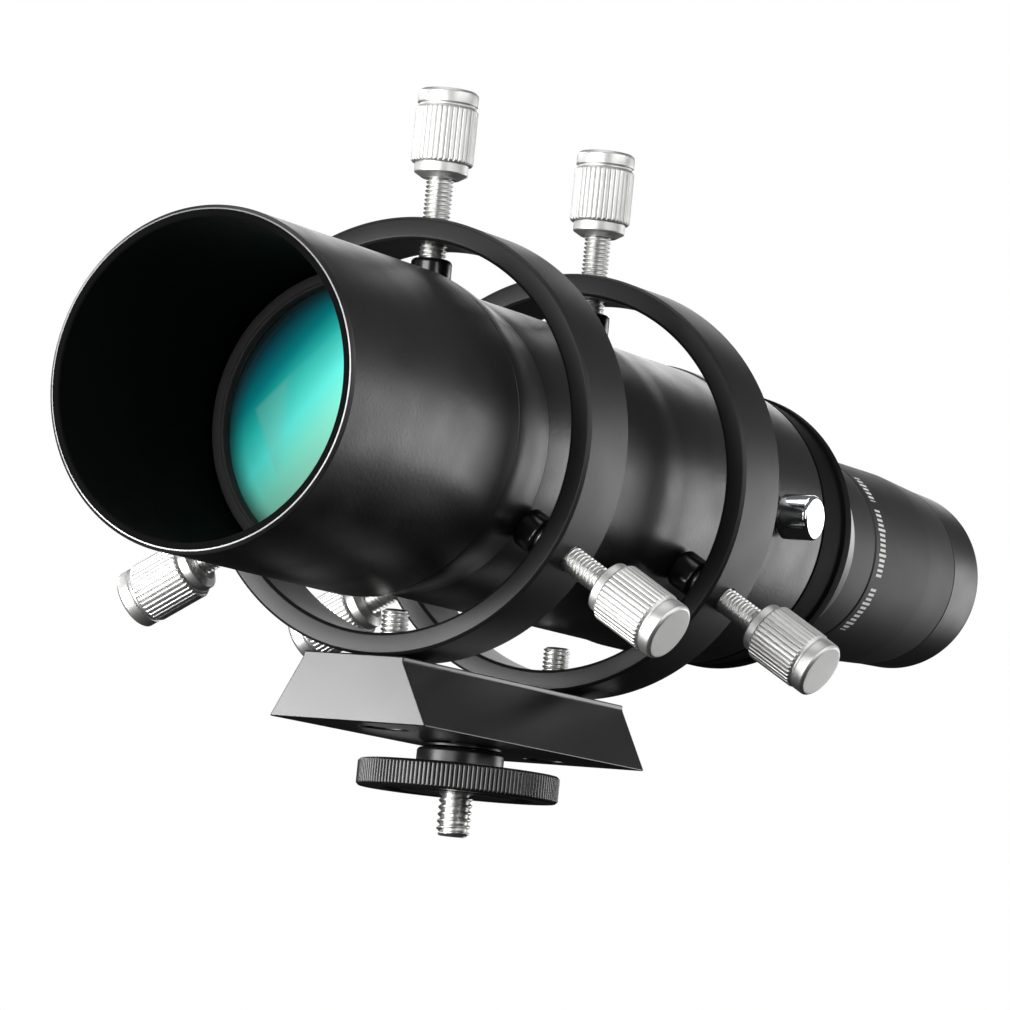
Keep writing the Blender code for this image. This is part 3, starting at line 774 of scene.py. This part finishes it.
def makeAdjuster(place, side, angle):
    name, node = f"{place}{side.capitalize()}", f"{place}_{side}"
    ringLow, ringHigh = reach(f"{place}_ring")
    axis = outwards((ringLow.y + ringHigh.y) / 2, angle)
    look, seat, top = adjusterLook, adjusterLook["seat"][place], adjusterLook["tipTop"]
    tip, bore, floor = look["tip"], look["bore"], seat + look["tipFloor"]
    outline = [
        (0, seat), (tip - 0.45, seat, 0.1), (tip, seat + 0.45, 0.3), (tip, top - 0.5, 0.4),
        (tip - 0.45, top, 0.3), (bore, top, 0.05), (bore, floor), (0, floor),
    ]
    turned(f"{name}Tip", outline, f"{node}_tip", "black_nylon", blackNylon, axis, 48)
    low, high = floor + 0.3, look["screwTop"]
    root = look["outer"] - look["depth"]
    ends = ([(0, low), (root, low)], [(root, high), (0, high)])
    threadedRod(f"{name}Screw", look, (low, high), ends, f"{node}_screw", "bright_steel", threadSteel, axis)
    foot, end, flange, knurl, crown = (look[part] for part in ("foot", "end", "flange", "knurl", "crown"))
    knurlLow, knurlHigh = foot + 2.7, end - 3.2
    outline = [
        (0, high + 0.3), (bore, high + 0.3), (bore, foot, 0.05), (3.4, foot, 0.1), (flange, foot + 0.9, 0.2),
        (flange, knurlLow - 0.1, 0.05), (knurl - 0.3, knurlLow, 0.1), (knurl, knurlLow + 0.35, 0.1),
    ]
    outline += [(knurl, height) for height in np.linspace(knurlLow + 0.8, knurlHigh - 0.8, 4)]
    outline += [
        (knurl, knurlHigh - 0.35, 0.1), (knurl - 0.35, knurlHigh, 0.1), (crown - 0.3, knurlHigh + 0.2, 0.1),
        (crown - 0.3, knurlHigh + 0.5, 0.1), (crown, end - 2.5, 0.1), (crown, end - 0.5, 0.2),
        (crown - 0.5, end, 0.15), (crown - 0.9, end), (0, end - 0.05),
    ]
    shape = ribbed(look["ribs"], look["ribDepth"], knurlLow + 0.1, knurlHigh - 0.1)
    sides = look["ribs"] * 8
    turned(f"{name}Knob", outline, f"{node}_knob", "satin_aluminium", satinAluminium, axis, sides, shape)


for place in ("front", "rear"):
    makeRing(place)
    for side, angle in adjusterAngles.items():
        makeAdjuster(place, side, angle)
print("rings and adjusters made")


plateLook = {
    "land": 11.2, "baseHalf": 16.0, "topHalf": 10.2, "bevel": 0.3,
    "studHole": 3.25, "studDeep": 9.5, "boltHole": 2.65, "counterbore": 4.55, "counterboreDeep": 5.0,
}
wheelLook = {
    "radius": 18.6, "hub": 8.05, "bore": 3.25, "disc": 5.0, "grooveInner": 10.5, "grooveOuter": 14.4,
    "ribs": 140, "ribDepth": 0.35,
}


def makePlate():
    low, high = reach("dovetail_plate")
    look, top = plateLook, high.z
    base, narrow, land = look["baseHalf"], look["topHalf"], look["land"]
    # the section is carried along Y between two stations, and both ends are closed
    section = [(-base, 0), (base, 0), (narrow, land), (narrow, top), (-narrow, top), (-narrow, land)]
    stations = np.array([low.y, high.y])
    points = np.zeros((2, 6, 3))
    points[:, :, [0, 2]] = section
    points[:, :, 1] = stations[:, None]
    index = np.arange(6)
    sides = np.stack([index, np.roll(index, -1), np.roll(index, -1) + 6, index + 6], axis=1).tolist()
    mesh = bpy.data.meshes.new("dovetailPlate")
    ends = [list(range(6)), list(range(11, 5, -1))]
    mesh.from_pydata((points * mm).reshape(-1, 3).tolist(), [], sides + ends)
    plate = piece("dovetailPlate", cleaned(mesh, 20), "dovetail_plate", "black_anodised", milledAnodised)
    hole, deep = look["studHole"], look["studDeep"]
    tools = [drill("studHole", [(0, -2), (hole, -2), (hole, deep), (0, deep)], plumbLine)]
    hole, wide, deep = look["boltHole"], look["counterbore"], look["counterboreDeep"]
    for name in ("front", "rear"):
        ringLow, ringHigh = reach(f"{name}_ring")
        spot = ((0, (ringLow.y + ringHigh.y) / 2, 0), (0, 0, 1), (1, 0, 0))
        outline = [(0, -2), (wide, -2), (wide, deep), (hole, deep), (hole, top + 2), (0, top + 2)]
        tools.append(drill(f"{name}Counterbore", outline, spot))
    cutAway(plate, tools)
    bevel = plate.modifiers.new("edges", "BEVEL")
    bevel.width = look["bevel"] * mm
    bevel.segments = 2
    bevel.limit_method = "ANGLE"
    bevel.angle_limit = math.radians(25)
    bevel.harden_normals = True


boltLook = {
    "outer": 2.5, "depth": 0.45, "pitch": 0.8, "head": 4.25, "headTall": 4.3,
    "key": 2.0, "keyDeep": 2.4,  # the hexagon socket
}


def makeBolt(place):
    low, high = reach(f"{place}_ring_bolt")
    spot = ((0, (low.y + high.y) / 2, 0), (0, 0, 1), (1, 0, 0))
    look, head, seat = boltLook, boltLook["head"], low.z + boltLook["headTall"]
    root = look["outer"] - look["depth"]
    before = [
        (0, low.z), (head - 0.4, low.z, 0.1), (head, low.z + 0.4, 0.2), (head, seat - 0.1),
        (head - 0.1, seat), (look["outer"], seat), (look["outer"], seat + 0.8), (root, seat + 1),
    ]
    after = [(root, high.z), (0, high.z)]
    span = (seat + 1, high.z)
    name, node = f"{place}RingBolt", f"{place}_ring_bolt"
    bolt = threadedRod(name, look, span, (before, after), node, "bright_steel", threadSteel, spot)
    key, deep = look["key"], low.z + look["keyDeep"]
    outline = [(0, low.z - 2), (key, low.z - 2), (key, deep), (0, deep)]
    cutAway(bolt, [drill(f"{place}Socket", outline, spot, 6)])


studLook = {"outer": 3.1, "depth": 0.62, "pitch": 1.27}  # a 1/4-20 thread
washerLook = {"bore": 3.25, "rim": 7.4, "edge": 0.1}


def makeStud():
    low, high = reach("mounting_stud")
    root, span = studLook["outer"] - studLook["depth"], (low.z, high.z)
    ends = ([(0, low.z), (root, low.z)], [(root, high.z), (0, high.z)])
    name, node = "mountingStud", "mounting_stud"
    threadedRod(name, studLook, span, ends, node, "bright_steel", threadSteel, plumbLine)


def makeWasher():
    low, high = reach("lock_washer")
    bore, rim, edge = washerLook["bore"], washerLook["rim"], washerLook["edge"]
    outline = [
        (bore, low.z + edge, 0.05), (bore + edge, low.z, 0.05), (rim - edge, low.z, 0.05),
        (rim, low.z + edge, 0.05), (rim, high.z - edge, 0.05), (rim - edge, high.z, 0.05),
        (bore + edge, high.z, 0.05), (bore, high.z - edge, 0.05),
    ]
    turned("lockWasher", outline, "lock_washer", "bright_steel", oxideSteel, plumbLine, 96)


def makeWheel():
    low, high = reach("lock_wheel")
    look, under, top, disc = wheelLook, low.z, high.z, low.z + wheelLook["disc"]
    radius, hub, bore = look["radius"], look["hub"], look["bore"]
    inner, outer = look["grooveInner"], look["grooveOuter"]
    outline = [
        (bore, under + 0.3, 0.1), (bore + 0.3, under, 0.1), (inner, under, 0.1),
        (inner + 0.4, under + 0.5, 0.2), (outer - 0.4, under + 0.5, 0.2), (outer, under, 0.1),
        (radius - 0.45, under, 0.1), (radius, under + 0.45, 0.12),
    ]
    outline += [(radius, height) for height in np.linspace(under + 0.8, disc - 0.8, 4)]
    outline += [
        (radius, disc - 0.45, 0.12), (radius - 0.45, disc, 0.12), (hub + 0.4, disc, 0.3),
        (hub, disc + 0.4, 0.3),
        (hub, top - 0.45, 0.2), (hub - 0.45, top, 0.2), (bore + 0.3, top, 0.1), (bore, top - 0.3, 0.1),
    ]
    sides = look["ribs"] * 6
    shape = ribbed(look["ribs"], look["ribDepth"], under + 0.3, disc - 0.3, sharpness=1.6, beyond=18)
    turned("lockWheel", outline, "lock_wheel", "black_anodised", milledAnodised, plumbLine, sides, shape)


makePlate()
makeBolt("front")
makeBolt("rear")
makeStud()
makeWasher()
makeWheel()
print("plate, bolts, stud and lock wheel made")

# the pieces inside keep their CAD meshes
innerFinishes = {
    "flint_lens": objectiveGlass, "field_lens": eyeGlass, "lens_spacer": mattBlack,
    "baffle_front": mattBlack, "baffle_rear": mattBlack, "field_stop": mattBlack,
    "lens_group_spacer": mattBlack, "spring_ring": springBrass, "lock_screw_pad": blackNylon,
}
for name, material in innerFinishes.items():
    nodes[name].data.materials.clear()
    nodes[name].data.materials.append(material)


def softbox(name, place, target, size, power):
    # a rectangle of light, its size in metres and its power in watts, turned towards the target
    light = bpy.data.lights.new(name, "AREA")
    light.shape = "RECTANGLE"
    light.size, light.size_y = size
    light.energy = power
    lamp = bpy.data.objects.new(name, light)
    bpy.context.scene.collection.objects.link(lamp)
    lamp.location = place
    lamp.visible_camera = False
    lamp.rotation_euler = (Vector(target) - Vector(place)).to_track_quat("-Z", "Y").to_euler()


def makeFloor():
    reachOut, level = 3.0, -0.13
    mesh = bpy.data.meshes.new("floor")
    corners = [(x * reachOut, y * reachOut, level) for x, y in ((-1, -1), (1, -1), (1, 1), (-1, 1))]
    mesh.from_pydata(corners, [], [(0, 1, 2, 3)])
    floor = bpy.data.objects.new("floor", mesh)
    bpy.context.scene.collection.objects.link(floor)
    material, _, shader = newMaterial("pale_paper")
    shader.inputs["Base Color"].default_value = hexColor("#b8b8b6")
    shader.inputs["Roughness"].default_value = 0.9
    shader.inputs["Emission Color"].default_value = hexColor("#f2f2f0")
    shader.inputs["Emission Strength"].default_value = 0.6  # keeps the paper pale where no lamp reaches it
    mesh.materials.append(material)
    # the floor stays out of the gloss and the bounce, and doesn't shade the low lamps
    floor.visible_glossy = False
    floor.visible_diffuse = False
    floor.visible_shadow = False


def makeWorld():
    # the camera sees a white studio, and the pieces see a greyer one
    world = bpy.data.worlds.new("studio")
    bpy.context.scene.world = world
    world.use_nodes = True
    tree = world.node_tree
    tree.nodes.clear()
    seen = addNode(tree, "Background", {}, {"Color": (1, 1, 1, 1), "Strength": 1.0})
    way = addNode(tree, "TexCoord", {}, {}, "Generated")
    height = addNode(tree, "SeparateXYZ", {}, {"Vector": way}, "Z")
    climb = {"Value": height, "From Min": -0.15, "From Max": 0.3, "To Min": 0.01, "To Max": 0.15}
    level = addNode(tree, "MapRange", {"interpolation_type": "SMOOTHSTEP"}, climb)
    felt = addNode(tree, "Background", {}, {"Color": (1, 1, 1, 1), "Strength": level})
    ray = addNode(tree, "LightPath", {}, {}, "Is Camera Ray")
    mix = addNode(tree, "MixShader", {}, {0: ray, 1: felt, 2: seen})
    addNode(tree, "OutputWorld", {}, {"Surface": mix})


def makeCamera():
    look = {
        "place": (0.54146, -0.98661, -0.06162), "bearing": 0.4988, "tilt": 1.6649, "roll": 0.1005,
        "lens": 219.13,
    }
    camera = bpy.data.objects.new("camera", bpy.data.cameras.new("camera"))
    bpy.context.scene.collection.objects.link(camera)
    turn = Matrix.Rotation(look["bearing"], 4, "Z") @ Matrix.Rotation(look["tilt"], 4, "X")
    turn = turn @ Matrix.Rotation(look["roll"], 4, "Z")
    camera.matrix_world = Matrix.Translation(look["place"]) @ turn
    camera.data.sensor_width = 36
    camera.data.lens = look["lens"]
    camera.data.clip_start = 0.05
    bpy.context.scene.camera = camera


makeFloor()
makeWorld()
middle = (0, 0.02, 0.05)
softbox("leftFront", (-0.29, -0.44, -0.07), (0, -0.04, 0.0), (0.24, 0.27), 4.2)
softbox("front", (-0.1, -1.3, 0.12), (0, -0.05, 0.05), (0.8, 0.8), 20)
softbox("rightBack", (0.52, 1.08, -0.03), middle, (0.66, 0.62), 5.4)
softbox("leftBack", (-0.5, 1.06, 0.42), middle, (0.6, 0.6), 3.2)
softbox("top", (-0.1, -0.1, 1.2), middle, (0.9, 0.9), 5)
softbox("rightFront", (1.2, -0.7, 0.3), middle, (0.3, 0.8), 4)
softbox("rightSide", (1.2, 0.05, 0.5), middle, (1.2, 0.4), 7)
softbox("leftSide", (-1.2, 0.05, 0.5), middle, (1.2, 0.4), 7)
makeCamera()
bpy.context.scene.view_settings.view_transform = "Standard"
print("floor, light and camera made")
